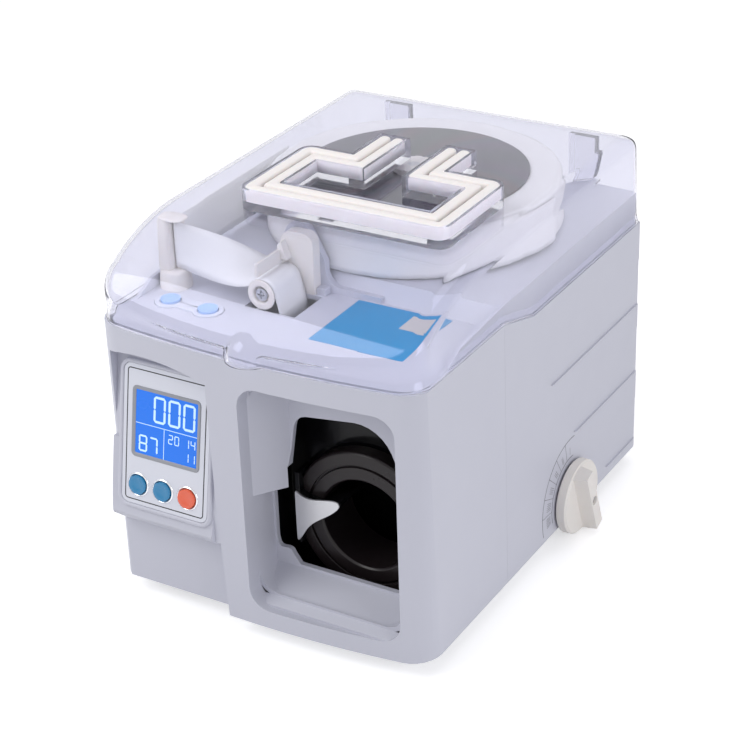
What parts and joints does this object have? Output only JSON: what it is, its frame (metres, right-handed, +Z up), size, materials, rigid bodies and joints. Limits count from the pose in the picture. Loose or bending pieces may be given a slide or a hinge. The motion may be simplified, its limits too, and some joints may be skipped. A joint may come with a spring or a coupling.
{
  "type": "banknote strapping machine",
  "caption": "Counter-top strapping machine: moulded housing with a control console and a deep note mouth around a wrapping ring, under a clear hinged cover over a tape roll.",
  "frame": {"origin": "middle of the machine's bounding box in plan, at the bottom of its rubber feet, on the table", "axes": "+X to the machine's right seen from its front, +Y from its front to its rear, +Z up"},
  "size_m": [0.1972, 0.2672, 0.2099],
  "materials": {
    "shell": "fine-textured moulded shell",
    "clear": "clear moulded plastic",
    "cream": "smooth cream moulding",
    "black": "satin black moulding",
    "ring": "dark grey moulding",
    "steel": "zinc-plated steel",
    "rubber": "moulded rubber",
    "tape": "paper binding tape",
    "card": "pressed card",
    "disc": "dark polished disc with a faint rainbow sheen",
    "plate": "printed control plate",
    "lcd": "blue display glass",
    "blue": "blue moulded button",
    "orange": "orange moulded button",
    "key": "pale blue key",
    "board": "green circuit board",
    "motor": "drawn steel can",
    "brass": "brass",
    "copper": "lacquered windings on a laminated core",
    "red": "red rocker"
  },
  "bodies": {
    "housing": {"base_plate": "steel", "rubber_feet": "rubber", "front_shell": "shell", "rear_shell": "shell", "top_deck": "shell", "hinge_pins": "steel", "panel_plate": "plate", "lcd_window": "lcd", "lcd_module": "black", "panel_board": "board", "key_pad": "shell", "key_board": "board", "roll_hub_nut": "cream", "roll_spindle": "steel", "tape_post": "cream", "guide_body": "cream", "roller_screw": "steel", "tape_web": "tape", "cavity_liner": "black", "ring_housing": "black", "drive_motor": "motor", "feed_frame": "steel", "feed_motor": "motor", "lever_pin": "steel", "cutter_guide": "steel", "setting_control": "board", "main_board": "board", "transformer": "copper", "inlet_socket": "black", "power_switch": "black", "housing_screws": "steel"},
    "cover": {"clear_cover": "clear", "bundle_rest": "clear", "rest_strip_outer": "cream", "rest_strip_inner": "cream"},
    "up_button": {"button_up": "blue"},
    "down_button": {"button_down": "blue"},
    "function_button": {"button_function": "orange"},
    "feed_key": {"key_feed": "key"},
    "return_key": {"key_return": "key"},
    "roll": {"roll_platter": "cream", "tape_roll": "tape", "roll_core": "card", "roll_disc": "disc"},
    "guide": {"guide_roller": "cream"},
    "ring": {"wrap_ring": "ring", "wrap_arm": "black", "arm_cap": "steel", "ring_retainer": "steel"},
    "pinion": {"drive_pinion": "brass"},
    "feed": {"feed_roller": "rubber"},
    "pinch": {"pinch_roller": "rubber"},
    "lever": {"seal_lever": "steel", "heater_block": "brass"},
    "cutter": {"cutter_blade": "steel"},
    "knob": {"setting_knob": "cream", "knob_screw": "steel"},
    "rocker": {"switch_rocker": "red"}
  },
  "joints": [
    {"name": "cover_hinge", "type": "hinge", "parent": "housing", "child": "cover", "pos_m": [-0.0071, 0.12965, 0.147], "axis": [-1, 0, 0], "range_deg": [0, 95]},
    {"name": "up_press", "type": "slide", "parent": "housing", "child": "up_button", "axis": [0, 0.9833, -0.1822], "range_m": [0, 0.0008], "stiffness_N_per_m": 600, "springref_m": -0.0008},
    {"name": "down_press", "type": "slide", "parent": "housing", "child": "down_button", "axis": [0, 0.9833, -0.1822], "range_m": [0, 0.0008], "stiffness_N_per_m": 600, "springref_m": -0.0008},
    {"name": "function_press", "type": "slide", "parent": "housing", "child": "function_button", "axis": [0, 0.9833, -0.1822], "range_m": [0, 0.0008], "stiffness_N_per_m": 600, "springref_m": -0.0008},
    {"name": "feed_key_press", "type": "slide", "parent": "housing", "child": "feed_key", "axis": [0, 0, -1], "range_m": [0, 0.0008], "stiffness_N_per_m": 600, "springref_m": -0.0008},
    {"name": "return_key_press", "type": "slide", "parent": "housing", "child": "return_key", "axis": [0, 0, -1], "range_m": [0, 0.0008], "stiffness_N_per_m": 600, "springref_m": -0.0008},
    {"name": "roll_spin", "type": "hinge", "parent": "housing", "child": "roll", "pos_m": [-0.0081, 0.03815, 0.17], "axis": [0, 0, 1], "continuous": true},
    {"name": "guide_spin", "type": "hinge", "parent": "housing", "child": "guide", "pos_m": [-0.0294, -0.06365, 0.1645], "axis": [0, 1, 0], "continuous": true},
    {"name": "ring_spin", "type": "hinge", "parent": "housing", "child": "ring", "pos_m": [0.0344, -0.08565, 0.0605], "axis": [0, 1, 0], "continuous": true},
    {"name": "pinion_spin", "type": "hinge", "parent": "housing", "child": "pinion", "pos_m": [0.00651, -0.07765, 0.10224], "axis": [0, 1, 0], "continuous": true},
    {"name": "feed_spin", "type": "hinge", "parent": "housing", "child": "feed", "pos_m": [-0.01165, -0.06365, 0.132], "axis": [0, 1, 0], "continuous": true},
    {"name": "pinch_spin", "type": "hinge", "parent": "housing", "child": "pinch", "pos_m": [-0.02555, -0.06365, 0.132], "axis": [0, 1, 0], "continuous": true},
    {"name": "lever_swing", "type": "hinge", "parent": "housing", "child": "lever", "pos_m": [-0.0321, -0.06365, 0.0765], "axis": [0, 1, 0], "range_deg": [0, 10]},
    {"name": "cutter_slide", "type": "slide", "parent": "housing", "child": "cutter", "axis": [1, 0, 0], "range_m": [0, 0.004]},
    {"name": "knob_turn", "type": "hinge", "parent": "housing", "child": "knob", "pos_m": [0.0844, 0.03635, 0.023], "axis": [1, 0, 0], "range_deg": [-135, 135]},
    {"name": "rocker_tilt", "type": "hinge", "parent": "housing", "child": "rocker", "pos_m": [-0.0266, 0.12135, 0.04], "axis": [0, 0, 1], "range_deg": [-7, 7]}
  ],
  "couplings": [
    {"joint": "pinion_spin", "follows": "ring_spin", "ratio": -4},
    {"joint": "pinch_spin", "follows": "feed_spin", "ratio": -1.1667}
  ]
}
